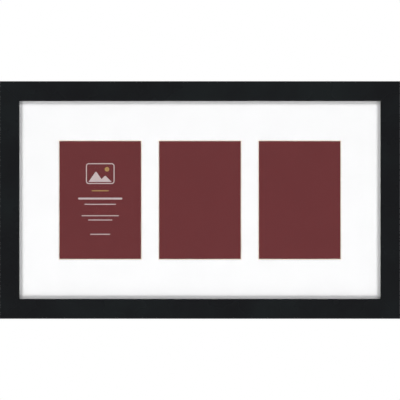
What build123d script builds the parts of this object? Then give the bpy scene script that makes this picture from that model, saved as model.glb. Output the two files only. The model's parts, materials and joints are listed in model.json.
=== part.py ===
from build123d import *
import os

# A wall frame for three prints side by side behind one mat. It is drawn about
# its own middle and then hung, so that the finished frame has its origin at the
# wall, under the tooth that the wall's nail carries: X to the viewer's right,
# Z up, the face looking towards -Y. Lengths are in millimetres.

# The windows in the mat, and how far a print reaches behind the mat on each side
window_width = 114.3
window_height = 165.1
window_gap = 25.4
window_names = ["left", "middle", "right"]
print_lap = 6.35

# The mat that shows around the windows, and the moulding around the mat
mat_border = 55.88
face_width = 27.94
frame_depth = 15.0
lip_width = 6.35
sight_edge_radius = 1.4
outer_edge_radius = 2.2
back_edge_radius = 0.8

# What lies in the rabbet, from the face to the back
facing_thickness = 2.0
mat_thickness = 1.4
print_thickness = 0.4
backing_thickness = 3.2
backing_recess = 0.3
package_play = 0.8

# V-shaped nails driven into the back of each mitre
mitre_nail_leg = 5.0
mitre_nail_thickness = 0.8
mitre_nail_length = 7.0
mitre_nail_play = 0.05
mitre_nail_shares = (0.26, 0.66)

# Turn buttons that hold the backing in, each on its own screw
button_thickness = 1.0
button_heel_radius = 5.0
button_toe_radius = 3.2
button_reach = 22.0
button_inset = 8.0
button_toe_length = 5.0
button_ramp_length = 2.4
button_toe_lift = 0.9
button_play = 0.1
screw_head_radius = 3.5
screw_head_height = 1.8
screw_head_edge = 1.2
screw_radius = 1.42
screw_length = 11.0
screw_play = 0.08

# Places of the turn buttons, as shares of the half length of their rail
button_place_shares = {
    "bottom_left": ("bottom", -0.5),
    "bottom_right": ("bottom", 0.5),
    "right": ("right", 0),
    "top_right": ("top", -0.5),
    "top_left": ("top", 0.5),
    "left": ("left", 0),
}

# Sawtooth hanger and the nails that hold it
hanger_length = 44.5
hanger_height = 9.5
hanger_thickness = 0.9
hanger_gap = 2.0
hanger_tab_length = 8.5
hanger_ramp_length = 2.6
hanger_tab_radius = 2.4
hanger_tooth_count = 9
hanger_tooth_depth = 1.5
hanger_nail_inset = 4.0
nail_head_radius = 1.9
nail_head_height = 0.6
nail_head_edge = 0.25
nail_radius = 0.75
nail_length = 10.0
nail_play = 0.05

# Rubber bumpers that keep the lower edge off the wall
bumper_thickness = 3.2
bumper_base_radius = 4.9
bumper_tip_radius = 4.2
bumper_edge = 0.7
bumper_inset = 38.0

# Small shapes shared by the pieces
bend_radius = 0.6
point_length_share = 2.5
overrun = 1.0

# Sizes across the frame that follow from the windows
print_width = window_width + 2 * print_lap
print_height = window_height + 2 * print_lap
window_pitch = window_width + window_gap
windows_width = len(window_names) * window_pitch - window_gap
sight_width = windows_width + 2 * mat_border
sight_height = window_height + 2 * mat_border
outer_width = sight_width + 2 * face_width
outer_height = sight_height + 2 * face_width
package_width = sight_width + 2 * (lip_width - package_play)
package_height = sight_height + 2 * (lip_width - package_play)
back_width = face_width - lip_width

# Depths from the wall, which is y = 0, to the face
rail_back = -bumper_thickness
rail_front = rail_back - frame_depth
backing_back = rail_back - backing_recess
backing_front = backing_back - backing_thickness
mat_back = backing_front - print_thickness
mat_front = mat_back - mat_thickness
facing_front = mat_front - facing_thickness

# Heights on the rails
button_height = back_width - button_inset
hanger_level = (outer_height - back_width) / 2
hanging_level = hanger_level - hanger_height / 2 + hanger_tooth_depth

# Each side: its turn about the middle from the bottom side, its rail's length, its distance
sides = {
    "bottom": (0, outer_width, outer_height / 2),
    "right": (-90, outer_height, outer_width / 2),
    "top": (180, outer_width, outer_height / 2),
    "left": (90, outer_height, outer_width / 2),
}
corner_names = {
    "bottom": "bottom_left",
    "right": "bottom_right",
    "top": "top_right",
    "left": "top_left",
}


def side_place(side):
    """Where a side's rail goes when it was made outer edge down on z = 0."""
    turn, _, distance = sides[side]
    return Rot(0, turn, 0) * Pos(0, 0, -distance)


def drawn_at(outline, depth):
    """An outline drawn in X and Z, at its depth from the wall."""
    return Pos(0, depth, 0) * (Plane.XZ * outline)


def plate(outline, back, front):
    """An outline drawn in X and Z, given thickness from its back to its front."""
    return extrude(drawn_at(outline, back), amount=back - front)


def turned(profile):
    """A round piece along Y, from the half profile in X and Y."""
    return revolve(profile, axis=Axis.Y)


def rounded_outline(corners):
    """A face whose outline turns at the given points with the given radii."""
    points = [point for point, _ in corners]
    radii = [radius for _, radius in corners]
    return make_face(FilletPolyline(*points, radius=radii, close=True))


def headed_nail(head_radius, head_height, head_edge, radius, length):
    """A nail or screw along Y: its head stands on y = 0, its point goes to -Y."""
    profile = Polygon(
        (0, head_height),
        (head_radius - head_edge, head_height),
        (head_radius, head_height - head_edge),
        (head_radius, 0),
        (radius, 0),
        (radius, point_length_share * radius - length),
        (0, -length),
        align=None,
    )
    return turned(profile)


def stamped(outline, bends, thickness):
    """Sheet metal cut to an outline in X and Z and bent along a line in X and Y."""
    line = FilletPolyline(*bends, radius=bend_radius)
    strip = make_face(offset(line, amount=thickness, side=Side.LEFT))
    sheet = extrude(strip, amount=outline.bounding_box().size.Y, both=True)
    rise = strip.bounding_box().max.Y
    return sheet & plate(outline, rise + overrun, -overrun)


# Moulding


def moulding_section():
    """The rail cut across: rounded face edges, and the rabbet behind the lip."""
    corners = [
        ((rail_back, 0), back_edge_radius),
        ((rail_front, 0), outer_edge_radius),
        ((rail_front, face_width), sight_edge_radius),
        ((facing_front, face_width), 0),
        ((facing_front, back_width), 0),
        ((rail_back, back_width), 0),
    ]
    return Plane.YZ * rounded_outline(corners)


def mitred_rail(length):
    """A length of moulding along X with its ends cut at 45 degrees."""
    half = length / 2
    bar = extrude(moulding_section(), amount=half, both=True)
    shape = Polygon(
        (-half, 0),
        (half, 0),
        (half - face_width, face_width),
        (face_width - half, face_width),
        align=None,
    )
    return bar & plate(shape, rail_back + overrun, rail_front - overrun)


def mitre_nail_outline(corner_distance):
    """A right-angled V across the mitre, its apex towards the frame's corner."""
    apex = corner_distance
    inner = apex + mitre_nail_thickness
    end = apex + mitre_nail_leg
    return Polygon(
        (apex, apex), (end, apex), (end, inner), (inner, inner), (inner, end), (apex, end),
        align=None,
    )


def mitre_nails(side, play):
    """The nails at a side's left-hand end, or with play the slots that take them."""
    _, length, _ = sides[side]
    place = side_place(side) * Pos(-length / 2, 0, 0)
    nails = []
    for share in mitre_nail_shares:
        outline = mitre_nail_outline(share * back_width)
        if play:
            outline = offset(outline, amount=play, kind=Kind.INTERSECTION)
        nails.append(place * plate(outline, rail_back + play, rail_back - mitre_nail_length - play))
    return nails


# Turn buttons


def turn_button():
    """A teardrop of sheet steel along +Z, its heel drilled and its toe lifted."""
    toe_centre = button_reach - button_toe_radius
    rounds = Circle(button_heel_radius) + Pos(toe_centre, 0) * Circle(button_toe_radius)
    teardrop = make_hull(rounds.edges())
    lift_end = button_reach - button_toe_length
    bends = [
        (-button_heel_radius - overrun, 0),
        (lift_end - button_ramp_length, 0),
        (lift_end, button_toe_lift),
        (button_reach + overrun, button_toe_lift),
    ]
    blank = stamped(teardrop, bends, button_thickness)
    hole = plate(Circle(screw_radius + screw_play), button_thickness + overrun, -overrun)
    return Rot(0, -90, 0) * (blank - hole)


def button_place(name):
    """Where a turn button's pivot is, on the back of its rail."""
    side, share = button_place_shares[name]
    _, length, _ = sides[side]
    return side_place(side) * Pos(share * length / 2, rail_back, button_height)


def button_screw():
    """A pan-head screw whose head stands clear of the turn button."""
    screw = headed_nail(
        screw_head_radius, screw_head_height, screw_head_edge, screw_radius, screw_length
    )
    return Pos(0, button_thickness + 2 * button_play, 0) * screw


# Hanging hardware


def hanger_outline():
    """A strip with rounded ends whose lower edge is cut into teeth between the ramps."""
    half = hanger_length / 2
    toothed = half - hanger_tab_length - hanger_ramp_length
    pitch = 2 * toothed / hanger_tooth_count
    low = -hanger_height / 2
    notches = [(-toothed, low - overrun)]
    for tooth in range(hanger_tooth_count):
        left = tooth * pitch - toothed
        notches += [(left, low), (left + pitch / 2, low + hanger_tooth_depth)]
    notches += [(toothed, low), (toothed, low - overrun)]
    strip = RectangleRounded(hanger_length, hanger_height, hanger_tab_radius)
    return strip - Polygon(*notches, align=None)


def sawtooth_hanger():
    """The hanger: flat tabs on the rail and a raised bar that leaves room for a nail."""
    half = hanger_length / 2
    ramp_start = half - hanger_tab_length
    ramp_end = ramp_start - hanger_ramp_length
    bends = [
        (-half - overrun, 0),
        (-ramp_start, 0),
        (-ramp_end, hanger_gap),
        (ramp_end, hanger_gap),
        (ramp_start, 0),
        (half + overrun, 0),
    ]
    bar = stamped(hanger_outline(), bends, hanger_thickness)
    hole = plate(Circle(nail_radius + nail_play), hanger_thickness + overrun, -overrun)
    return bar - [Pos(x, 0, 0) * hole for x in hanger_nail_places()]


def hanger_nail_places():
    """The hanger's two nails, in from its ends."""
    reach = hanger_length / 2 - hanger_nail_inset
    return (-reach, reach)


def bumper():
    """A soft rubber stud: flat on the rail, tapered, its edge broken at the wall."""
    profile = Polygon(
        (0, 0),
        (bumper_tip_radius - bumper_edge, 0),
        (bumper_tip_radius, -bumper_edge),
        (bumper_base_radius, -bumper_thickness),
        (0, -bumper_thickness),
        align=None,
    )
    return turned(profile)


# Mat, prints and sheets


def sheet(width, height, back, front):
    """A flat rectangular sheet between two depths."""
    return plate(Rectangle(width, height), back, front)


def window_cutter():
    """What a bevel cutter takes out of the mat: at 45 degrees, wider at the front."""
    small = Rectangle(window_width - 2 * overrun, window_height - 2 * overrun)
    spread = 2 * (mat_thickness + overrun)
    large = Rectangle(window_width + spread, window_height + spread)
    return loft([drawn_at(small, mat_back + overrun), drawn_at(large, mat_front - overrun)])


def window_places():
    """Each window's middle along the mat."""
    first = -(len(window_names) - 1) / 2 * window_pitch
    return [first + window_pitch * index for index in range(len(window_names))]


def collage_mat():
    """The mat board with its bevelled windows."""
    board = sheet(package_width, package_height, mat_back, mat_front)
    return board - [Pos(x, 0, 0) * window_cutter() for x in window_places()]


def rail_cuts():
    """Pilot holes and nail slots in the back of the moulding."""
    screw_depth = screw_length - button_thickness - 2 * button_play
    pilot = plate(Circle(screw_radius + screw_play), overrun, -screw_depth - screw_play)
    cuts = [button_place(name) * pilot for name in button_place_shares]
    nail_depth = nail_length - hanger_thickness
    nail_hole = plate(Circle(nail_radius + nail_play), overrun, -nail_depth - nail_play)
    cuts += [Pos(x, rail_back, hanger_level) * nail_hole for x in hanger_nail_places()]
    for side in sides:
        cuts += mitre_nails(side, mitre_nail_play)
    return cuts


# All the pieces, about the middle of the frame

pieces = {}
holes = rail_cuts()
for side, (_, length, _) in sides.items():
    pieces[side + "_rail"] = side_place(side) * mitred_rail(length) - holes
    pieces["mitre_nails_" + corner_names[side]] = mitre_nails(side, 0)

pieces["clear_facing"] = sheet(package_width, package_height, mat_front, facing_front)
pieces["collage_mat"] = collage_mat()
pieces["backing_board"] = sheet(package_width, package_height, backing_back, backing_front)
for name, x in zip(window_names, window_places()):
    pieces["print_" + name] = Pos(x, 0, 0) * sheet(
        print_width, print_height, backing_front, mat_back
    )

for name in button_place_shares:
    pieces["turn_button_" + name] = button_place(name) * Pos(0, button_play, 0) * turn_button()
pieces["turn_button_screws"] = [button_place(name) * button_screw() for name in button_place_shares]

pieces["sawtooth_hanger"] = Pos(0, rail_back, hanger_level) * sawtooth_hanger()
hanger_nail = headed_nail(nail_head_radius, nail_head_height, nail_head_edge, nail_radius, nail_length)
pieces["hanger_nails"] = [
    Pos(x, rail_back + hanger_thickness, hanger_level) * hanger_nail for x in hanger_nail_places()
]

bumper_level = (back_width - outer_height) / 2
for name, sign in (("left", -1), ("right", 1)):
    place = Pos(sign * (outer_width / 2 - bumper_inset), 0, bumper_level)
    pieces["bumper_" + name] = place * bumper()

# The frame is hung: its origin goes to the wall, at the nail's seat under the middle tooth
os.makedirs("parts", exist_ok=True)
hung = Pos(0, 0, -hanging_level)
for name, piece in pieces.items():
    solids = piece if isinstance(piece, list) else [piece]
    model = Compound([hung * solid for one in solids for solid in one.solids()])
    export_step(model, "parts/" + name + ".step")
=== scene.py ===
import contextlib
import json
import math

import bmesh
import bpy
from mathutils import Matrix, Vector


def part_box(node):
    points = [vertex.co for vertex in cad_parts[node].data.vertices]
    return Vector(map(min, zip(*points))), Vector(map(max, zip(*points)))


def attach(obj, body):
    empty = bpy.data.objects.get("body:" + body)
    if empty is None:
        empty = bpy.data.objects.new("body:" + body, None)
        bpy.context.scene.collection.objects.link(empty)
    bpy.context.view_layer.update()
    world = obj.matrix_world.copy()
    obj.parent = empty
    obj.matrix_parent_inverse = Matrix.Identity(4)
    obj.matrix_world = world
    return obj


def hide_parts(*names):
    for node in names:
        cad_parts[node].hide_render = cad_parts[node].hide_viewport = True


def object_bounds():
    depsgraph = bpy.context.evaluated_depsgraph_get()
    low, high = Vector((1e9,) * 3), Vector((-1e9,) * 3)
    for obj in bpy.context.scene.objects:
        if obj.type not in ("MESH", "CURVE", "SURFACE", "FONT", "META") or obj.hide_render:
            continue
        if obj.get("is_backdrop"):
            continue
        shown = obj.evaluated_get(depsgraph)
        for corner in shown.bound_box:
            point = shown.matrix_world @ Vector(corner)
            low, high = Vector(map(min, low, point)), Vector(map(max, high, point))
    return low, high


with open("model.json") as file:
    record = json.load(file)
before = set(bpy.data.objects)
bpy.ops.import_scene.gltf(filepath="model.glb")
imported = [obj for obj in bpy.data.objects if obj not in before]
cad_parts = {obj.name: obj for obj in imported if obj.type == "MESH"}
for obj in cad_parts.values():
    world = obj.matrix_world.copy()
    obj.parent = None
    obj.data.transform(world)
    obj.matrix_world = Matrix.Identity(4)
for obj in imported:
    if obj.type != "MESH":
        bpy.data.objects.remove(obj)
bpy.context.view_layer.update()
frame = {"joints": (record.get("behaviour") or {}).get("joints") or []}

# A wall frame with three windows in one mat: black mitred moulding, a clear sheet,
# the mat, three cards, a hardboard back and its hardware. Lengths are in metres.
mm = 0.001

# Places closer than touch count as one place. A normal lies along an axis past
# square_on, and leans that way past leaning.
touch = 0.02 * mm
square_on = 0.99
leaning = 0.5

# Places and sizes that the solids give
bottom_low, bottom_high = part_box("bottom_rail")
side_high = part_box("right_rail")[1]
facing_low, facing_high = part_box("clear_facing")
mat_low, mat_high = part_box("collage_mat")
backing_low, backing_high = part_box("backing_board")
hanger_low, hanger_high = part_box("sawtooth_hanger")

middle = (facing_low + facing_high) / 2
back_y = bottom_high.y
face_y = bottom_low.y
lip_y = facing_low.y
half_width = bottom_high.x
half_height = side_high.z - middle.z
face_width = bottom_high.z - bottom_low.z

# Sizes of the moulding that its box doesn't give
lip_width = 6.35 * mm
back_width = face_width - lip_width
outer_edge_radius = 2.2 * mm
sight_edge_radius = 1.4 * mm
back_edge_radius = 0.8 * mm
mitre_edge = 0.12 * mm
spare = 5 * mm

# The windows in the mat
window_width = 114.3 * mm
window_height = 165.1 * mm
window_pitch = 139.7 * mm
window_places = {"left": -window_pitch, "middle": 0.0, "right": window_pitch}
facing_paper = 0.15 * mm


# Working on a piece


def choose(*pieces):
    """Selects these pieces only; the first is the one worked on."""
    bpy.ops.object.select_all(action="DESELECT")
    for piece in pieces:
        piece.select_set(True)
    bpy.context.view_layer.objects.active = pieces[0]


@contextlib.contextmanager
def editing(piece):
    """Edit mode on one piece."""
    choose(piece)
    bpy.ops.object.mode_set(mode="EDIT")
    yield
    bpy.ops.object.mode_set(mode="OBJECT")


def named(name):
    """Gives a name to the piece being worked on, and to its mesh."""
    piece = bpy.context.object
    piece.name = name
    piece.data.name = name
    return piece


def settle(name):
    """Names the new piece and puts its place into its mesh."""
    bpy.ops.object.transform_apply(location=True, rotation=True, scale=True)
    return named(name)


def block(name, low, high):
    """A block between two corners."""
    bpy.ops.object.select_all(action="DESELECT")
    low, high = Vector(low), Vector(high)
    bpy.ops.mesh.primitive_cube_add(size=1, location=(low + high) / 2, scale=high - low)
    return settle(name)


def rod(name, radius, x, z, back, front, sides, tip_radius=None):
    """A round piece along Y between two depths, its tip at the back."""
    bpy.ops.object.select_all(action="DESELECT")
    bpy.ops.mesh.primitive_cone_add(
        vertices=sides,
        radius1=radius,
        radius2=radius if tip_radius is None else tip_radius,
        depth=back - front,
        location=(x, (back + front) / 2, z),
        rotation=(-math.pi / 2, 0, 0),
    )
    return settle(name)


def flat(name, width, height, x, y, z):
    """A flat sheet in X and Z that faces the viewer."""
    bpy.ops.object.select_all(action="DESELECT")
    bpy.ops.mesh.primitive_plane_add(size=1, location=(x, y, z), rotation=(math.pi / 2, 0, 0))
    bpy.context.object.scale = (width, height, 1)
    return settle(name)


def pick(piece, kind, wanted):
    """In edit mode, selects the corners, edges or faces that pass the test."""
    bpy.ops.mesh.select_mode(type=kind)
    bpy.ops.mesh.select_all(action="DESELECT")
    mesh = bmesh.from_edit_mesh(piece.data)
    for item in {"VERT": mesh.verts, "EDGE": mesh.edges, "FACE": mesh.faces}[kind]:
        if wanted(item):
            item.select_set(True)
    bmesh.update_edit_mesh(piece.data)


def near(a, b):
    return abs(a - b) < touch


def along(edge, **at):
    """Whether both ends of an edge are at the given places."""
    return all(
        near(getattr(corner.co, axis), place) for corner in edge.verts for axis, place in at.items()
    )


def span(edge, axis):
    """How far an edge reaches along an axis."""
    one, other = (getattr(corner.co, axis) for corner in edge.verts)
    return abs(one - other)


def slice_through(point, normal, take_off=False):
    """Cuts the whole piece by a plane, and may take off what its normal points to."""
    bpy.ops.mesh.select_all(action="SELECT")
    bpy.ops.mesh.bisect(
        plane_co=point, plane_no=normal, use_fill=take_off, clear_outer=take_off
    )


def push(x=0, y=0, z=0):
    """Draws new walls out of what is selected."""
    bpy.ops.mesh.extrude_region_move(TRANSFORM_OT_translate={"value": (x, y, z)})


def round_off(radius, steps, kind="EDGES"):
    bpy.ops.mesh.bevel(offset=radius, offset_type="OFFSET", segments=steps, profile=0.5, affect=kind)


def apply(piece, kind, **settings):
    """Adds a modifier with these settings and applies it."""
    choose(piece)
    step = piece.modifiers.new("step", kind)
    for name, value in settings.items():
        setattr(step, name, value)
    bpy.ops.object.modifier_apply(modifier=step.name)


def carve(piece, cutter):
    """Takes the cutter's shape out of a piece."""
    apply(piece, "BOOLEAN", operation="DIFFERENCE", solver="EXACT", object=cutter)


def ease_edges(piece, width, steps=2, angle=40):
    """Breaks the sharp edges all round."""
    apply(
        piece, "BEVEL", width=width, segments=steps,
        limit_method="ANGLE", angle_limit=math.radians(angle),
    )


def smooth(piece, angle=35):
    """Smooth shading over bends and rounds, with the flat faces left flat."""
    choose(piece)
    bpy.ops.object.shade_smooth_by_angle(angle=math.radians(angle))
    apply(piece, "WEIGHTED_NORMAL", weight=50, keep_sharp=True)


def fuse(name, pieces):
    """Makes one piece of several."""
    choose(*pieces)
    bpy.ops.object.join()
    return named(name)


def copy_of(piece, name):
    choose(piece)
    bpy.ops.object.duplicate(linked=False)
    return named(name)


def remove(piece):
    choose(piece)
    bpy.ops.object.delete()


def turn(piece, degrees, centre):
    """Turns a piece about an axis along Y; positive goes from +Z towards +X."""
    with editing(piece):
        bpy.ops.mesh.select_all(action="SELECT")
        bpy.ops.transform.rotate(
            value=-math.radians(degrees), orient_axis="Y", center_override=centre
        )


def shift(piece, move):
    with editing(piece):
        bpy.ops.mesh.select_all(action="SELECT")
        bpy.ops.transform.translate(value=move)


def place_of(solid):
    """The middle of a solid's box."""
    low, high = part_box(solid)
    return (low + high) / 2


def repeat(source, prefix, places):
    """Copies a piece from the first of its places to the others; each place is a turn and a point."""
    first, *others = places
    start = places[first][1]
    made = {first: source}
    for name in others:
        degrees, point = places[name]
        made[name] = copy_of(source, prefix + name)
        turn(made[name], degrees, start)
        shift(made[name], point - start)
    return made


def dress(piece, finishes, rule=None):
    """Gives each face the finish whose number the rule returns."""
    piece.data.materials.clear()
    for finish in finishes:
        piece.data.materials.append(finish)
    for face in piece.data.polygons:
        face.material_index = rule(face.center, face.normal) if rule else 0


def seat(piece, slot, *nodes, body="frame"):
    """Lets a finished piece ride on its body in place of its solids."""
    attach(piece, body)
    if nodes:
        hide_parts(*nodes)


# Shared effects of the finishes

white = (1, 1, 1, 1)


def node(tree, kind, sockets=None, **settings):
    """A shader node with its settings, and with values on its sockets."""
    made = tree.nodes.new("ShaderNode" + kind)
    for name, value in settings.items():
        setattr(made, name, value)
    for name, value in (sockets or {}).items():
        made.inputs[name].default_value = value
    return made


def connect(tree, *pairs):
    """Links each pair of sockets, from the one that gives to the one that takes."""
    for source, target in pairs:
        tree.links.new(source, target)


def blend_of(tree, kind):
    """A mix of two numbers or two colours: the sockets of its share, of both, and of what it gives."""
    first, result = {"FLOAT": (2, 0), "RGBA": (6, 2)}[kind]
    mix = node(tree, "Mix", data_type=kind)
    return mix.inputs[0], mix.inputs[first], mix.inputs[first + 1], mix.outputs[result]


def effect(name, values, **outputs):
    """An empty shader group that takes a place and these values, and gives these outputs."""
    tree = bpy.data.node_groups.new(name, "ShaderNodeTree")
    tree.interface.new_socket(name="Vector", in_out="INPUT", socket_type="NodeSocketVector")
    for label, value in values.items():
        kind = "NodeSocketColor" if isinstance(value, tuple) else "NodeSocketFloat"
        tree.interface.new_socket(name=label, in_out="INPUT", socket_type=kind).default_value = value
    for label, kind in outputs.items():
        tree.interface.new_socket(name=label, in_out="OUTPUT", socket_type="NodeSocket" + kind)
    given = tree.nodes.new("NodeGroupInput")
    result = tree.nodes.new("NodeGroupOutput")
    return tree, given.outputs, result.inputs


def pattern(tree, given, kind, sockets):
    """A texture at the place and the scale that its group is given."""
    texture = node(tree, kind, sockets)
    connect(
        tree,
        (given["Vector"], texture.inputs["Vector"]),
        (given["Scale"], texture.inputs["Scale"]),
    )
    return texture


def make_drift():
    """Soft patches of two colours."""
    tree, given, result = effect(
        "colour_drift", {"Scale": 20.0, "Colour": white, "Other": white}, Colour="Color"
    )
    noise = pattern(tree, given, "TexNoise", {"Detail": 4.0, "Roughness": 0.6})
    spread = node(
        tree, "MapRange", {"From Min": 0.32, "From Max": 0.68}, interpolation_type="SMOOTHSTEP"
    )
    share, one, other, blended = blend_of(tree, "RGBA")
    connect(
        tree,
        (noise.outputs[0], spread.inputs["Value"]),
        (spread.outputs[0], share),
        (given["Colour"], one),
        (given["Other"], other),
        (blended, result["Colour"]),
    )
    return tree


def make_sheen_change():
    """A gloss that changes softly between two values."""
    tree, given, result = effect(
        "sheen_change", {"Scale": 20.0, "Low": 0.3, "High": 0.5}, Roughness="Float"
    )
    noise = pattern(tree, given, "TexNoise", {"Detail": 3.0, "Roughness": 0.55})
    spread = node(tree, "MapRange", {"From Min": 0.3, "From Max": 0.7})
    connect(
        tree,
        (noise.outputs[0], spread.inputs["Value"]),
        (given["Low"], spread.inputs["To Min"]),
        (given["High"], spread.inputs["To Max"]),
        (spread.outputs[0], result["Roughness"]),
    )
    return tree


def make_tooth():
    """The fine unevenness of paper, board, rubber, plating or lacquer."""
    tree, given, result = effect("fine_tooth", {"Scale": 1000.0}, Height="Float")
    fine = pattern(tree, given, "TexNoise", {"Detail": 3.0, "Roughness": 0.65})
    connect(tree, (fine.outputs[0], result["Height"]))
    return tree


def make_long_grain():
    """Wood grain that runs along X: fine pores and wider bands."""
    tree, given, result = effect("long_grain", {"Scale": 1.0}, Bands="Float", Pores="Float")
    stretch = node(tree, "VectorMath", {1: (6.0, 260.0, 260.0)}, operation="MULTIPLY")
    sized = node(tree, "VectorMath", operation="SCALE")
    bands = node(
        tree, "TexNoise", {"Scale": 1.0, "Detail": 3.0, "Roughness": 0.5, "Distortion": 0.6}
    )
    pores = node(tree, "TexNoise", {"Scale": 6.0, "Detail": 4.0, "Roughness": 0.7})
    sharpen = node(tree, "MapRange", {"From Min": 0.42, "From Max": 0.62})
    connect(
        tree,
        (given["Vector"], stretch.inputs[0]),
        (stretch.outputs[0], sized.inputs[0]),
        (given["Scale"], sized.inputs["Scale"]),
        (sized.outputs[0], bands.inputs["Vector"]),
        (sized.outputs[0], pores.inputs["Vector"]),
        (bands.outputs[0], result["Bands"]),
        (pores.outputs[0], sharpen.inputs["Value"]),
        (sharpen.outputs[0], result["Pores"]),
    )
    return tree


def make_specks():
    """Scattered small specks or fibres, in a share of the cells."""
    tree, given, result = effect("specks", {"Scale": 500.0, "Share": 0.2}, Mask="Float")
    cells = pattern(tree, given, "TexVoronoi", {"Randomness": 1.0})
    dot = node(
        tree, "MapRange", {"From Min": 0.34, "From Max": 0.18}, interpolation_type="SMOOTHSTEP"
    )
    parts = node(tree, "SeparateColor")
    chosen = node(tree, "Math", operation="LESS_THAN")
    both = node(tree, "Math", operation="MULTIPLY")
    connect(
        tree,
        (cells.outputs["Distance"], dot.inputs["Value"]),
        (cells.outputs["Color"], parts.inputs[0]),
        (parts.outputs[0], chosen.inputs[0]),
        (given["Share"], chosen.inputs[1]),
        (dot.outputs[0], both.inputs[0]),
        (chosen.outputs[0], both.inputs[1]),
        (both.outputs[0], result["Mask"]),
    )
    return tree


colour_drift = make_drift()
sheen_change = make_sheen_change()
fine_tooth = make_tooth()
long_grain = make_long_grain()
specks = make_specks()


# Finishes


class Finish:
    """A material in the making: its shader, its place on the piece and its effects."""

    def __init__(self, name, shader):
        self.material = bpy.data.materials.new(name)
        self.material.use_nodes = True
        self.tree = self.material.node_tree
        self.surface = self.tree.nodes["Principled BSDF"]
        for label, value in shader.items():
            self.surface.inputs[label].default_value = value
        self.place = node(self.tree, "TexCoord").outputs["Object"]

    def link(self, source, target):
        self.tree.links.new(source, target)

    def mapped(self, kind, angles, scale):
        mapping = node(self.tree, "Mapping", {"Rotation": angles, "Scale": scale}, vector_type=kind)
        self.link(self.place, mapping.inputs["Vector"])
        return mapping.outputs[0]

    def drawn_out(self, share):
        """The place on the piece, for a pattern drawn out upwards: the smaller the share, the longer."""
        return self.mapped("POINT", (0, 0, 0), (1, 1, share))

    def turned(self, degrees, shorten=1.0):
        """The place turned about the axis from front to back, for a pattern shortened along its own X."""
        return self.mapped("TEXTURE", (0, -math.radians(degrees), 0), (1 / shorten, 1, 1))

    def along_grain(self, upright):
        """The place on a rail with its grain along X, whether the rail lies or stands."""
        return self.turned(90) if upright else self.place

    def use(self, effect_tree, place=None, **values):
        """Places a shared effect in this finish with its own values."""
        made = node(self.tree, "Group", node_tree=effect_tree)
        self.link(place or self.place, made.inputs["Vector"])
        for label, value in values.items():
            made.inputs[label].default_value = (*value, 1) if isinstance(value, tuple) else value
        return made.outputs

    def drift(self, scale, colour, other, place=None):
        return self.use(colour_drift, place, Scale=scale, Colour=colour, Other=other)["Colour"]

    def tooth(self, scale, place=None):
        return self.use(fine_tooth, place, Scale=scale)["Height"]

    def specked(self, scale, share, place=None):
        return self.use(specks, place, Scale=scale, Share=share)["Mask"]

    def scaled(self, value, share):
        part = node(self.tree, "Math", {1: share}, operation="MULTIPLY")
        self.link(value, part.inputs[0])
        return part.outputs[0]

    def added(self, one, other):
        total = node(self.tree, "Math", operation="ADD")
        self.link(one, total.inputs[0])
        self.link(other, total.inputs[1])
        return total.outputs[0]

    def over(self, base, tone, mask, share):
        """Lays a tone over the base where the mask says so, as strong as the share."""
        factor, below, above, blended = blend_of(self.tree, "RGBA")
        above.default_value = (*tone, 1)
        self.link(self.scaled(mask, share), factor)
        self.link(base, below)
        return blended

    def colour(self, socket):
        self.link(socket, self.surface.inputs["Base Color"])

    def gloss(self, scale, low, high, place=None):
        """Roughness that changes between low and high."""
        changing = self.use(sheen_change, place, Scale=scale, Low=low, High=high)["Roughness"]
        self.link(changing, self.surface.inputs["Roughness"])

    def relief(self, height, depth, strength):
        """Raised and sunken by the height, at most as deep as given."""
        bump = node(self.tree, "Bump", {"Strength": strength, "Distance": depth})
        self.link(height, bump.inputs["Height"])
        self.link(bump.outputs[0], self.surface.inputs["Normal"])


def lacquer(name, upright):
    """Satin black lacquer: deep, even, with a trace of the wood's grain under it."""
    f = Finish(name, {"Specular IOR Level": 0.1})
    place = f.along_grain(upright)
    pores = f.use(long_grain, place, Scale=1.0)["Pores"]
    dust = f.specked(1500.0, 0.04)
    base = f.drift(9.0, (0.0041, 0.0044, 0.0054), (0.0064, 0.0083, 0.0091))
    f.colour(f.over(base, (0.022, 0.022, 0.023), dust, 0.5))
    f.gloss(14.0, 0.24, 0.32, place)
    f.relief(f.added(f.scaled(pores, 0.2), f.tooth(620.0)), 0.016 * mm, 0.4)
    return f.material


def bare_wood(name, upright):
    """The unpainted back of the moulding: pale sawn wood."""
    f = Finish(name, {"Specular IOR Level": 0.3})
    place = f.along_grain(upright)
    grain = f.use(long_grain, place, Scale=1.0)
    body = f.drift(7.0, (0.66, 0.49, 0.315), (0.58, 0.415, 0.255), place)
    banded = f.over(body, (0.47, 0.315, 0.18), grain["Bands"], 0.75)
    f.colour(f.over(banded, (0.33, 0.2, 0.105), grain["Pores"], 0.35))
    f.gloss(30.0, 0.62, 0.8, place)
    f.relief(grain["Pores"], 0.08 * mm, 0.6)
    return f.material


def paper(name, colour, other, tooth, depth, low=0.72, high=0.86, shine=0.25, fibres=None):
    """Uncoated paper or board: matt, with a fine tooth, and where it has them a few fibres."""
    f = Finish(name, {"Specular IOR Level": shine})
    base = f.drift(35.0, colour, other)
    if fibres:
        base = f.over(base, fibres, f.specked(520.0, 0.1, f.drawn_out(0.45)), 0.35)
    f.colour(base)
    f.gloss(60.0, low, high)
    f.relief(f.tooth(tooth), depth, 0.6)
    return f.material


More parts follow.
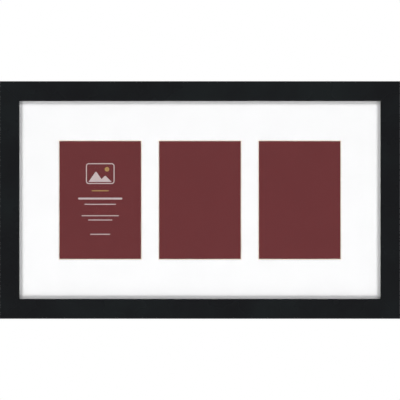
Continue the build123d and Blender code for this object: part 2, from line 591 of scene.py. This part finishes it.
def hardboard():
    """Pressed wood fibre: brown and matt, with short fibres lying every way."""
    f = Finish("hardboard", {"Specular IOR Level": 0.3})
    base = f.drift(26.0, (0.2, 0.11, 0.053), (0.172, 0.092, 0.043))
    base = f.over(base, (0.135, 0.07, 0.032), f.tooth(230.0), 0.4)
    for degrees, scale, share, tone in (
        (17, 1.9, 0.3, (0.31, 0.19, 0.1)),
        (78, 2.3, 0.4, (0.085, 0.043, 0.02)),
        (131, 1.7, 0.22, (0.27, 0.16, 0.083)),
        (-38, 2.1, 0.3, (0.11, 0.057, 0.027)),
    ):
        fibres = f.use(long_grain, f.turned(degrees, shorten=5.0), Scale=scale)["Pores"]
        base = f.over(base, tone, fibres, share)
    f.colour(base)
    f.gloss(18.0, 0.5, 0.68)
    f.relief(f.added(f.tooth(1100.0), f.scaled(fibres, 0.5)), 0.03 * mm, 0.6)
    return f.material


def plated(name, colour, other, low, high):
    """Plated or bright steel: a little uneven, with fine rub marks in a darker tone."""
    f = Finish(name, {"Metallic": 1.0})
    base = f.drift(240.0, colour, other)
    rubbed = tuple(0.72 * part for part in colour)
    f.colour(f.over(base, rubbed, f.specked(900.0, 0.25, f.drawn_out(0.2)), 0.3))
    f.gloss(420.0, low, high)
    f.relief(f.tooth(1800.0, f.drawn_out(0.25)), 0.012 * mm, 0.5)
    return f.material


def rubber():
    """Soft dark rubber, matt, with a little dust on it."""
    f = Finish("bumper_rubber", {"Specular IOR Level": 0.4})
    base = f.drift(300.0, (0.022, 0.022, 0.023), (0.034, 0.033, 0.032))
    f.colour(f.over(base, (0.11, 0.105, 0.1), f.specked(3200.0, 0.12), 0.3))
    f.gloss(380.0, 0.6, 0.78)
    f.relief(f.tooth(2600.0), 0.03 * mm, 0.6)
    return f.material


def clear_sheet():
    """Clear coated facing: seen through everywhere, with a faint reflection off its front."""
    f = Finish("clear_sheet", {"Metallic": 1.0, "Base Color": white})
    f.gloss(16.0, 0.015, 0.06)
    clear = node(f.tree, "BsdfTransparent", {"Color": (0.99, 0.99, 0.99, 1)})
    glance = node(f.tree, "Fresnel", {"IOR": 1.3})
    geometry = node(f.tree, "NewGeometry")
    outside = node(f.tree, "Math", {0: 1.0}, operation="SUBTRACT")
    share = node(f.tree, "Math", operation="MULTIPLY")
    mix = node(f.tree, "MixShader")
    connect(
        f.tree,
        (geometry.outputs["Backfacing"], outside.inputs[1]),
        (glance.outputs[0], share.inputs[0]),
        (outside.outputs[0], share.inputs[1]),
        (share.outputs[0], mix.inputs[0]),
        (clear.outputs[0], mix.inputs[1]),
        (f.surface.outputs[0], mix.inputs[2]),
        (mix.outputs[0], f.tree.nodes["Material Output"].inputs["Surface"]),
    )
    return f.material


lying_finishes = (lacquer("black_lacquer_lying", False), bare_wood("bare_wood_lying", False))
upright_finishes = (lacquer("black_lacquer_upright", True), bare_wood("bare_wood_upright", True))
mat_paper = paper(
    "mat_paper", (0.948, 0.949, 0.954), (0.933, 0.934, 0.939), tooth=1300.0, depth=0.012 * mm
)
mat_core = paper(
    "mat_core", (0.95, 0.9, 0.8), (0.94, 0.885, 0.78), tooth=2400.0, depth=0.02 * mm,
    low=0.85, high=0.95,
)
mat_lining = paper(
    "mat_lining", (0.8, 0.78, 0.72), (0.76, 0.73, 0.67), tooth=1300.0, depth=0.02 * mm,
    fibres=(0.6, 0.54, 0.44),
)
card_colour = paper(
    "maroon_card", (0.127, 0.0215, 0.024), (0.123, 0.0205, 0.023), tooth=1700.0, depth=0.009 * mm,
    low=0.6, high=0.74, shine=0.12,
)
card_white = paper(
    "card_white", (0.84, 0.835, 0.82), (0.8, 0.795, 0.78), tooth=1500.0, depth=0.012 * mm
)
pale_ink = paper(
    "pale_ink", (0.56, 0.47, 0.47), (0.5, 0.41, 0.41), tooth=1700.0, depth=0.008 * mm,
    low=0.5, high=0.62,
)
gold_ink = paper(
    "gold_ink", (0.38, 0.235, 0.085), (0.32, 0.19, 0.066), tooth=1700.0, depth=0.008 * mm,
    low=0.42, high=0.55,
)
board_brown = hardboard()
zinc = plated("zinc_plate", (0.39, 0.405, 0.425), (0.305, 0.32, 0.34), low=0.24, high=0.42)
screw_zinc = plated("screw_plate", (0.47, 0.465, 0.45), (0.38, 0.375, 0.36), low=0.2, high=0.34)
nail_steel = plated("nail_steel", (0.43, 0.43, 0.435), (0.34, 0.34, 0.345), low=0.28, high=0.48)
stud_rubber = rubber()
clear = clear_sheet()


# Moulding and the nails in its mitres

mitre_nail_leg = 5.0 * mm
mitre_nail_thickness = 0.8 * mm
mitre_nail_length = 7.0 * mm
mitre_nail_play = 0.05 * mm
mitre_nail_edge = 0.06 * mm
# How far in from the corner the two nails lie, as shares of the moulding's back
mitre_nail_shares = (0.26, 0.66)
# How far the upper left corner's nails are turned for each corner, and where that corner is
corners = {
    "top_left": (0, Vector((-half_width, 0, middle.z + half_height))),
    "top_right": (90, Vector((half_width, 0, middle.z + half_height))),
    "bottom_left": (-90, Vector((-half_width, 0, middle.z - half_height))),
    "bottom_right": (180, Vector((half_width, 0, middle.z - half_height))),
}


def mitre_nail(name, share, play):
    """A V-shaped nail across the upper left mitre, its apex towards the frame's corner."""
    thick = mitre_nail_thickness + 2 * play
    reach = mitre_nail_leg - mitre_nail_thickness
    outer_x = share * back_width - half_width - play
    outer_z = middle.z + half_height - share * back_width + play
    inner_x = outer_x + thick
    inner_z = outer_z - thick
    nail = block(
        name,
        (outer_x, back_y - mitre_nail_length - play, inner_z),
        (inner_x, back_y + play, outer_z),
    )
    with editing(nail):
        pick(nail, "FACE", lambda face: near(face.calc_center_median().x, inner_x))
        push(x=reach)
        pick(nail, "FACE", lambda face: all(
            near(corner.co.z, inner_z) and corner.co.x < inner_x + touch for corner in face.verts
        ))
        push(z=-reach)
    return nail


def corner_nails(name, play=0.0):
    """The two nails of the upper left corner; with some play, the slots that they lie in."""
    return fuse(name, [
        mitre_nail(name + str(number), share, play)
        for number, share in enumerate(mitre_nail_shares)
    ])


def rail(name, reach, distance):
    """A length of moulding made as the one at the foot, mitred at both ends."""
    foot = middle.z - distance
    top = foot + back_width
    piece = block(name, (-reach - spare, face_y, foot), (reach + spare, back_y, top))

    def under_lip(face):
        return face.normal.z > square_on and face.calc_center_median().y < lip_y

    def mitre_edge_outside(edge):
        on_mitre = all(near(abs(corner.co.x) + corner.co.z - foot, reach) for corner in edge.verts)
        in_rabbet = all(
            corner.co.z > top - touch and corner.co.y > lip_y - touch for corner in edge.verts
        )
        return on_mitre and not in_rabbet

    with editing(piece):
        slice_through((0, lip_y, 0), (0, 1, 0))
        pick(piece, "FACE", under_lip)
        push(z=lip_width)
        for y, z, radius, steps in (
            (face_y, foot, outer_edge_radius, 8),
            (face_y, foot + face_width, sight_edge_radius, 6),
            (back_y, foot, back_edge_radius, 4),
        ):
            pick(piece, "EDGE", lambda edge: along(edge, y=y, z=z))
            round_off(radius, steps)
        for side in (-1, 1):
            slice_through((side * reach, 0, foot), (side, 0, 1), take_off=True)
        pick(piece, "EDGE", mitre_edge_outside)
        round_off(mitre_edge, 2)
    return piece


def rail_finish(centre, normal):
    """Lacquer outside, on the face and round the lip; bare wood behind, in the rabbet and the mitres."""
    behind = near(centre.y, back_y) and normal.y > square_on
    in_rabbet = centre.y > lip_y + touch and normal.z > square_on
    in_mitre = (abs(normal.x) + normal.z) / math.sqrt(2) > square_on
    return 1 if behind or in_rabbet or in_mitre else 0


slot_pair = corner_nails("slots_top_left", mitre_nail_play)
slots = fuse("nail_slots", repeat(slot_pair, "slots_", corners).values())
for finishes, reach, distance, turns in (
    (lying_finishes, half_width, half_height, {"bottom": 0, "top": 180}),
    (upright_finishes, half_height, half_width, {"right": -90, "left": 90}),
):
    length = rail("moulding", reach, distance)
    dress(length, finishes, rail_finish)
    for side, degrees in turns.items():
        piece = copy_of(length, "moulding_" + side)
        turn(piece, degrees, middle)
        carve(piece, slots)
        smooth(piece)
        seat(piece, "moulding", side + "_rail")
    remove(length)
remove(slots)

nails = corner_nails("corner_nails_top_left")
ease_edges(nails, mitre_nail_edge, steps=1)
dress(nails, [nail_steel])
for corner, piece in repeat(nails, "corner_nails_", corners).items():
    seat(piece, "nail_steel", "mitre_nails_" + corner)


# What lies in the rabbet

sheet_gap = Vector((0, 0.04 * mm, 0))
sheet_edge = 0.2 * mm
card_edge = 0.05 * mm
board_edge = 0.35 * mm

piece = block("clear_facing_sheet", facing_low + sheet_gap, facing_high - sheet_gap)
ease_edges(piece, sheet_edge)
dress(piece, [clear])
seat(piece, "facing", "clear_facing")


def mat():
    """The mat board: three windows cut at 45 degrees, white paper over a cream core."""
    board = block("mat_board_cut", mat_low, mat_high)
    thickness = mat_high.y - mat_low.y
    widen = 1 + 2 * thickness / window_width
    heighten = 1 + 2 * thickness / window_height
    with editing(board):
        for x in window_places.values():
            for side in (-1, 1):
                slice_through((x + side * window_width / 2, 0, 0), (1, 0, 0))
        for side in (-1, 1):
            slice_through((0, 0, middle.z + side * window_height / 2), (0, 0, 1))
        for x in window_places.values():
            pick(board, "FACE", lambda face: near(face.calc_center_median().x, x)
                 and near(face.calc_center_median().z, middle.z) and abs(face.normal.y) > square_on)
            bpy.ops.mesh.bridge_edge_loops()
            pick(board, "VERT", lambda corner: near(corner.co.y, mat_low.y)
                 and near(abs(corner.co.x - x), window_width / 2)
                 and near(abs(corner.co.z - middle.z), window_height / 2))
            bpy.ops.transform.resize(
                value=(widen, 1, heighten), center_override=(x, mat_low.y, middle.z)
            )
        slice_through((0, mat_low.y + facing_paper, 0), (0, 1, 0))
        bpy.ops.mesh.select_all(action="SELECT")
        bpy.ops.mesh.normals_make_consistent(inside=False)
    return board


def mat_finish(centre, normal):
    """White paper in front, a lining behind, and the core between them."""
    if centre.y < mat_low.y + facing_paper:
        return 0
    return 2 if normal.y > square_on else 1


def card_finish(centre, normal):
    """Colour in front and on the eased edges there, white elsewhere."""
    return 0 if normal.y < -leaning else 1


piece = mat()
dress(piece, [mat_paper, mat_core, mat_lining], mat_finish)
seat(piece, "mat_board", "collage_mat")

card = block("card_left", *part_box("print_left"))
ease_edges(card, card_edge, steps=1)
dress(card, [card_colour, card_white], card_finish)
card_places = {window: (0, place_of("print_" + window)) for window in window_places}
for window, piece in repeat(card, "card_", card_places).items():
    seat(piece, "print_" + window, "print_" + window)

piece = block("hardboard_back", backing_low, backing_high)
ease_edges(piece, board_edge)
dress(piece, [board_brown])
seat(piece, "backing", "backing_board")


# Printing on the left card: a plain picture sign and a few rules

ink = 0.05 * mm
ink_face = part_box("print_left")[0].y - ink
card_x = window_places["left"]
sign_width = 40.0 * mm
sign_height = 29.0 * mm
sign_level = 37.0 * mm
sign_line = 1.3 * mm
sign_corner = 4.0 * mm
sun_radius = 3.2 * mm
sun_x = 9.5 * mm
sun_level = sign_level + 6.0 * mm
hill_foot = middle.z + sign_level - sign_height / 2 + 2.2 * sign_line
hill_top_radius = 1.6 * mm
# What a rule's corners are rounded by, as a share of its height
rule_rounding = 0.45
# Each rule's ink, width, height and level
rules = (
    ("gold", 24.0 * mm, 1.6 * mm, 13.0 * mm),
    ("pale", 62.0 * mm, 2.6 * mm, 2.0 * mm),
    ("pale", 44.0 * mm, 1.3 * mm, -6.0 * mm),
    ("pale", 52.0 * mm, 1.3 * mm, -22.0 * mm),
    ("pale", 34.0 * mm, 1.3 * mm, -28.0 * mm),
    ("pale", 28.0 * mm, 1.3 * mm, -48.0 * mm),
)


def inked(piece):
    """Gives a flat printed shape some thickness, half of it standing out of the card."""
    apply(piece, "SOLIDIFY", thickness=2 * ink, offset=-1.0)
    return piece


def rule_bar(name, width, height, level):
    """A straight rule with rounded ends."""
    bar = flat(name, width, height, card_x, ink_face, middle.z + level)
    with editing(bar):
        bpy.ops.mesh.select_all(action="SELECT")
        round_off(height * rule_rounding, 4, "VERTICES")
    return inked(bar)


def sign_outline():
    """The sign's border: a line round a rounded oblong."""
    border = flat(
        "sign_outline", sign_width, sign_height, card_x, ink_face, middle.z + sign_level
    )
    with editing(border):
        bpy.ops.mesh.select_all(action="SELECT")
        round_off(sign_corner, 8, "VERTICES")
        bpy.ops.mesh.select_mode(type="FACE")
        bpy.ops.mesh.select_all(action="SELECT")
        bpy.ops.mesh.inset(thickness=sign_line)
        bpy.ops.mesh.delete(type="FACE")
    return inked(border)


def hill(name, x, width, height):
    """A low hill just above the sign's lower line: a sheet whose top is drawn to a rounded point."""
    shape = flat(name, width, height, card_x + x, ink_face, hill_foot + height / 2)

    def at_top(corner):
        return near(corner.co.z, hill_foot + height)

    with editing(shape):
        pick(shape, "VERT", at_top)
        bpy.ops.mesh.merge(type="CENTER")
        pick(shape, "VERT", at_top)
        round_off(hill_top_radius, 6, "VERTICES")
    return inked(shape)


def hills():
    """A high hill and a low one, made one shape."""
    high = hill("hill_high", x=-6.0 * mm, width=21.0 * mm, height=15.0 * mm)
    low = hill("hill_low", x=7.0 * mm, width=18.0 * mm, height=9.0 * mm)
    apply(high, "BOOLEAN", operation="UNION", solver="EXACT", object=low)
    remove(low)
    return high


def sun():
    """A round sun at the sign's upper right."""
    bpy.ops.object.select_all(action="DESELECT")
    bpy.ops.mesh.primitive_circle_add(
        vertices=40, radius=sun_radius, fill_type="NGON",
        location=(card_x + sun_x, ink_face, middle.z + sun_level), rotation=(math.pi / 2, 0, 0),
    )
    return inked(settle("sign_sun"))


printing = {"pale": [sign_outline(), hills()], "gold": [sun()]}
for number, (tone, width, height, level) in enumerate(rules):
    printing[tone].append(rule_bar("rule_" + str(number), width, height, level))
for tone, finish in (("pale", pale_ink), ("gold", gold_ink)):
    piece = fuse("card_printing_" + tone, printing[tone])
    dress(piece, [finish])
    seat(piece, "print_left")


# Turn buttons and their screws

button_heel_radius = 5.0 * mm
button_toe_radius = 3.2 * mm
button_reach = 22.0 * mm
button_toe_length = 5.0 * mm
button_ramp_length = 2.4 * mm
button_toe_lift = 0.9 * mm
button_hole_radius = 1.5 * mm
button_thickness = 1.0 * mm
button_play = 0.1 * mm
button_edge = 0.16 * mm
button_bend_radius = 0.6 * mm
# Faces that meet at less than this, in degrees, are one flat face
flat_angle = 0.5
pivots = {joint["child"]: Vector(joint["pos_m"]) for joint in frame["joints"]}
# How far the first button is turned for each place, and the pivot there
button_places = {
    name: (degrees, pivots["turn_button_" + name])
    for name, degrees in (
        ("bottom_left", 0),
        ("bottom_right", 0),
        ("right", -90),
        ("top_right", 180),
        ("top_left", 180),
        ("left", 90),
    )
}


def turn_button(name, pivot):
    """A stamped teardrop that points up, its toe lifted, its edges rounded."""
    front = pivot.y + button_play
    back = front + button_thickness
    toe_z = pivot.z + button_reach - button_toe_radius
    lift_end = pivot.z + button_reach - button_toe_length
    bends = (lift_end - button_ramp_length, lift_end)
    piece = fuse(name, [
        rod(name, button_heel_radius, pivot.x, pivot.z, back, front, sides=64),
        rod(name + "_toe", button_toe_radius, pivot.x, toe_z, back, front, sides=48),
    ])
    with editing(piece):
        bpy.ops.mesh.select_all(action="SELECT")
        bpy.ops.mesh.convex_hull()
        bpy.ops.mesh.select_all(action="SELECT")
        bpy.ops.mesh.dissolve_limited(angle_limit=math.radians(flat_angle))
        for z in bends:
            slice_through((0, 0, z), (0, 0, 1))
        pick(piece, "VERT", lambda corner: corner.co.z > lift_end - touch)
        bpy.ops.transform.translate(value=(0, button_toe_lift, 0))
        for z in bends:
            pick(piece, "EDGE", lambda edge: along(edge, z=z) and span(edge, "x") > mm)
            round_off(button_bend_radius, 4)
    ease_edges(piece, button_edge)
    drill = rod("drill", button_hole_radius, pivot.x, pivot.z, back + mm, front - mm, sides=40)
    carve(piece, drill)
    remove(drill)
    smooth(piece, angle=40)
    dress(piece, [zinc])
    return piece


def headed_pin(name, x, z, front, size):
    """A round head, domed at the back, on a shank that runs to a point in the wood."""
    back = front + size["head height"]
    pin = rod(name, size["head radius"], x, z, back, front, sides=size["sides"])
    with editing(pin):
        pick(pin, "EDGE", lambda edge: along(edge, y=back))
        round_off(size["dome"], size["dome steps"])
        pick(pin, "FACE", lambda face: face.normal.y < -square_on)
        bpy.ops.mesh.inset(thickness=size["head radius"] - size["radius"])
        push(y=size["point"] - size["length"])
        push(y=-size["point"])
        bpy.ops.transform.resize(
            value=(size["tip"], 1, size["tip"]), center_override=(x, front - size["length"], z)
        )
    return pin


screw_size = {
    "head radius": 3.5 * mm,
    "head height": 1.8 * mm,
    "dome": 1.15 * mm,
    "dome steps": 6,
    "radius": 1.42 * mm,
    "length": 11.0 * mm,
    "point": 3.5 * mm,
    "tip": 0.08,
    "sides": 56,
}
screw_edge = 0.07 * mm
recess_length = 3.7 * mm
recess_width = 0.85 * mm
recess_depth = 1.1 * mm
# How wide and long the recess is at its bottom, as a share of its mouth
recess_taper = 0.62


def sink_cross(screw, x, z, back):
    """Sinks a crossed recess in a screw's head with two blades that narrow towards the bottom."""
    bottom = back - recess_depth
    for wide, high in ((recess_length, recess_width), (recess_width, recess_length)):
        blade = block(
            "blade",
            (x - wide / 2, bottom, z - high / 2),
            (x + wide / 2, back + mm, z + high / 2),
        )
        with editing(blade):
            pick(blade, "FACE", lambda face: face.normal.y < -square_on)
            bpy.ops.transform.resize(
                value=(recess_taper, 1, recess_taper), center_override=(x, bottom, z)
            )
        carve(screw, blade)
        remove(blade)


def pan_screw(name, pivot):
    """A pan-head screw: domed head with a crossed recess, its shank in the wood."""
    front = pivot.y + button_thickness + 2 * button_play
    screw = headed_pin(name, pivot.x, pivot.z, front, screw_size)
    sink_cross(screw, pivot.x, pivot.z, front + screw_size["head height"])
    ease_edges(screw, screw_edge, steps=1, angle=50)
    smooth(screw)
    dress(screw, [screw_zinc])
    return screw


first_pivot = pivots["turn_button_bottom_left"]
button = turn_button("button_bottom_left", first_pivot)
for name, piece in repeat(button, "button_", button_places).items():
    seat(piece, "turn_button_steel", "turn_button_" + name, body="turn_button_" + name)
screw = pan_screw("screw_bottom_left", first_pivot)
for piece in repeat(screw, "screw_", button_places).values():
    seat(piece, "screw_steel", "turn_button_screws")


# Sawtooth hanger, its nails, and the bumpers

hanger_gap = 2.0 * mm
hanger_thickness = 0.9 * mm
hanger_tab_length = 8.5 * mm
hanger_ramp_length = 2.6 * mm
hanger_tab_radius = 2.4 * mm
hanger_bend_radius = 0.42 * mm
hanger_tooth_count = 9
hanger_tooth_depth = 1.5 * mm
hanger_nail_inset = 4.0 * mm
hanger_edge = 0.13 * mm
nail_size = {
    "head radius": 1.9 * mm,
    "head height": 0.6 * mm,
    "dome": 0.35 * mm,
    "dome steps": 4,
    "radius": 0.75 * mm,
    "length": 10.0 * mm,
    "point": 1.9 * mm,
    "tip": 0.1,
    "sides": 40,
}


def hanger():
    """A strip with rounded ends, its middle raised off the rail, its lower edge toothed."""
    half = (hanger_high.x - hanger_low.x) / 2
    ramp_start = half - hanger_tab_length
    ramp_end = ramp_start - hanger_ramp_length
    half_pitch = ramp_end / hanger_tooth_count
    steps = [step * half_pitch - ramp_end for step in range(2 * hanger_tooth_count + 1)]
    roots = steps[1::2]
    strip = block(
        "hanger_strip",
        (-half, back_y, hanger_low.z),
        (half, back_y + hanger_thickness, hanger_high.z),
    )
    with editing(strip):
        pick(strip, "EDGE", lambda edge: span(edge, "y") > touch)
        round_off(hanger_tab_radius, 8)
        for x in (*steps, -ramp_start, ramp_start):
            slice_through((x, 0, 0), (1, 0, 0))
        pick(strip, "VERT", lambda corner: abs(corner.co.x) < ramp_end + touch)
        bpy.ops.transform.translate(value=(0, hanger_gap, 0))
        pick(strip, "VERT", lambda corner: near(corner.co.z, hanger_low.z)
             and any(near(corner.co.x, root) for root in roots))
        bpy.ops.transform.translate(value=(0, 0, hanger_tooth_depth))
        for x in (-ramp_start, -ramp_end, ramp_end, ramp_start):
            pick(strip, "EDGE", lambda edge: along(edge, x=x) and span(edge, "z") > mm)
            round_off(hanger_bend_radius, 3)
    ease_edges(strip, hanger_edge, angle=35)
    smooth(strip, angle=30)
    dress(strip, [zinc])
    return strip


seat(hanger(), "hanger_steel", "sawtooth_hanger")

nail_front = back_y + hanger_thickness
nail_level = (hanger_low.z + hanger_high.z) / 2
nail_left = Vector((hanger_low.x + hanger_nail_inset, nail_front, nail_level))
nail_right = Vector((hanger_high.x - hanger_nail_inset, nail_front, nail_level))
nail_places = {"left": (0, nail_left), "right": (0, nail_right)}
nail = headed_pin("hanger_nail_left", nail_left.x, nail_level, nail_front, nail_size)
smooth(nail, angle=40)
dress(nail, [nail_steel])
for piece in repeat(nail, "hanger_nail_", nail_places).values():
    seat(piece, "nail_steel", "hanger_nails")

bumper_tip_radius = 4.2 * mm
bumper_edge = 0.7 * mm
low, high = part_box("bumper_left")
centre = (low + high) / 2
stud = rod(
    "stud_left", (high.x - low.x) / 2, centre.x, centre.z, high.y, low.y,
    sides=56, tip_radius=bumper_tip_radius,
)
with editing(stud):
    pick(stud, "EDGE", lambda edge: along(edge, y=high.y))
    round_off(bumper_edge, 5)
smooth(stud, angle=40)
dress(stud, [stud_rubber])
bumper_places = {name: (0, place_of("bumper_" + name)) for name in ("left", "right")}
for name, piece in repeat(stud, "stud_", bumper_places).items():
    seat(piece, "bumper_rubber", "bumper_" + name)


# Studio: camera, soft lamps, pale floor and white surroundings

# How much wider the frame is than the view, and how far right of its middle the camera stands
view_crop = 1.0025
view_aside = 0.08 * mm
view_width = 2 * half_width / view_crop
lens = 900.0
sensor = 36.0
camera_reach = view_width * lens / sensor
bpy.ops.object.select_all(action="DESELECT")
bpy.ops.object.camera_add(
    location=(middle.x + view_aside, face_y - camera_reach, middle.z), rotation=(math.pi / 2, 0, 0)
)
camera = bpy.context.object
camera.name = "camera"
camera.data.lens = lens
camera.data.sensor_width = sensor
bpy.context.scene.camera = camera


def soft_lamp(name, place, size, power, mirrored):
    """A square soft lamp, placed from the frame's middle and pointed at it.

    Glossy surfaces show it only if it is mirrored.
    """
    away = Vector(place)
    bpy.ops.object.select_all(action="DESELECT")
    bpy.ops.object.light_add(
        type="AREA", location=middle + away, rotation=away.to_track_quat("Z", "Y").to_euler()
    )
    lamp = bpy.context.object
    lamp.name = name
    lamp.data.shape = "SQUARE"
    lamp.data.size = size
    lamp.data.energy = power
    lamp.visible_camera = False
    lamp.visible_glossy = mirrored


front_lamp_size = 0.6
front_lamp_power = 16.25
back_lamp_size = 1.7
back_lamp_power = 12.5
for name, place in (
    ("high_left", (-1.15, -1.75, 1.05)),
    ("high_right", (1.15, -1.75, 1.05)),
    ("low_left", (-1.15, -1.75, -1.05)),
    ("low_right", (1.15, -1.75, -1.05)),
):
    soft_lamp("front_lamp_" + name, place, front_lamp_size, front_lamp_power, mirrored=False)
for name, place in (
    ("left", (-0.95, 1.35, 1.1)),
    ("right", (0.95, 1.35, 1.1)),
    ("low", (-0.4, 1.6, -0.75)),
):
    soft_lamp("back_lamp_" + name, place, back_lamp_size, back_lamp_power, mirrored=True)

floor_level = -1.6
floor_size = 20.0
floor_glow = 0.87
bpy.ops.object.select_all(action="DESELECT")
bpy.ops.mesh.primitive_plane_add(size=floor_size, location=(0, 0, floor_level))
floor = settle("floor")
floor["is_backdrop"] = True


def floor_finish():
    """A plain pale floor that the camera and bright surfaces see as near white."""
    f = Finish("pale_floor", {"Roughness": 0.9, "Specular IOR Level": 0.1, "Emission Color": white})
    f.colour(f.drift(0.8, (0.86, 0.86, 0.86), (0.84, 0.84, 0.84)))
    path = node(f.tree, "LightPath")
    seen = node(f.tree, "Math", operation="MAXIMUM")
    f.link(path.outputs["Is Camera Ray"], seen.inputs[0])
    f.link(path.outputs["Is Glossy Ray"], seen.inputs[1])
    f.link(f.scaled(seen.outputs[0], floor_glow), f.surface.inputs["Emission Strength"])
    return f.material


dress(floor, [floor_finish()])

# The surroundings are white where they are seen, a little darker below where they are
# mirrored, and light the frame only faintly.
fill_strength = 0.09
low_side_strength = 0.6
world = bpy.data.worlds.new("surroundings")
bpy.context.scene.world = world
world.use_nodes = True
tree = world.node_tree
background = tree.nodes["Background"]
background.inputs["Color"].default_value = white
path = node(tree, "LightPath")
direction = node(tree, "TexCoord")
parts = node(tree, "SeparateXYZ")
reflected = node(
    tree, "MapRange",
    {"From Min": -1.0, "From Max": 1.0, "To Min": low_side_strength, "To Max": 1.0},
)
seen = node(tree, "Math", operation="MAXIMUM")
is_glossy, fill, mirrored, unseen_result = blend_of(tree, "FLOAT")
is_seen, unseen, plain_white, strength = blend_of(tree, "FLOAT")
fill.default_value = fill_strength
plain_white.default_value = 1.0
connect(
    tree,
    (direction.outputs["Generated"], parts.inputs[0]),
    (parts.outputs["Z"], reflected.inputs["Value"]),
    (path.outputs["Is Glossy Ray"], is_glossy),
    (reflected.outputs[0], mirrored),
    (path.outputs["Is Camera Ray"], seen.inputs[0]),
    (path.outputs["Is Transmission Ray"], seen.inputs[1]),
    (seen.outputs[0], is_seen),
    (unseen_result, unseen),
    (strength, background.inputs["Strength"]),
)

bpy.context.scene.view_settings.view_transform = "Standard"

low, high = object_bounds()
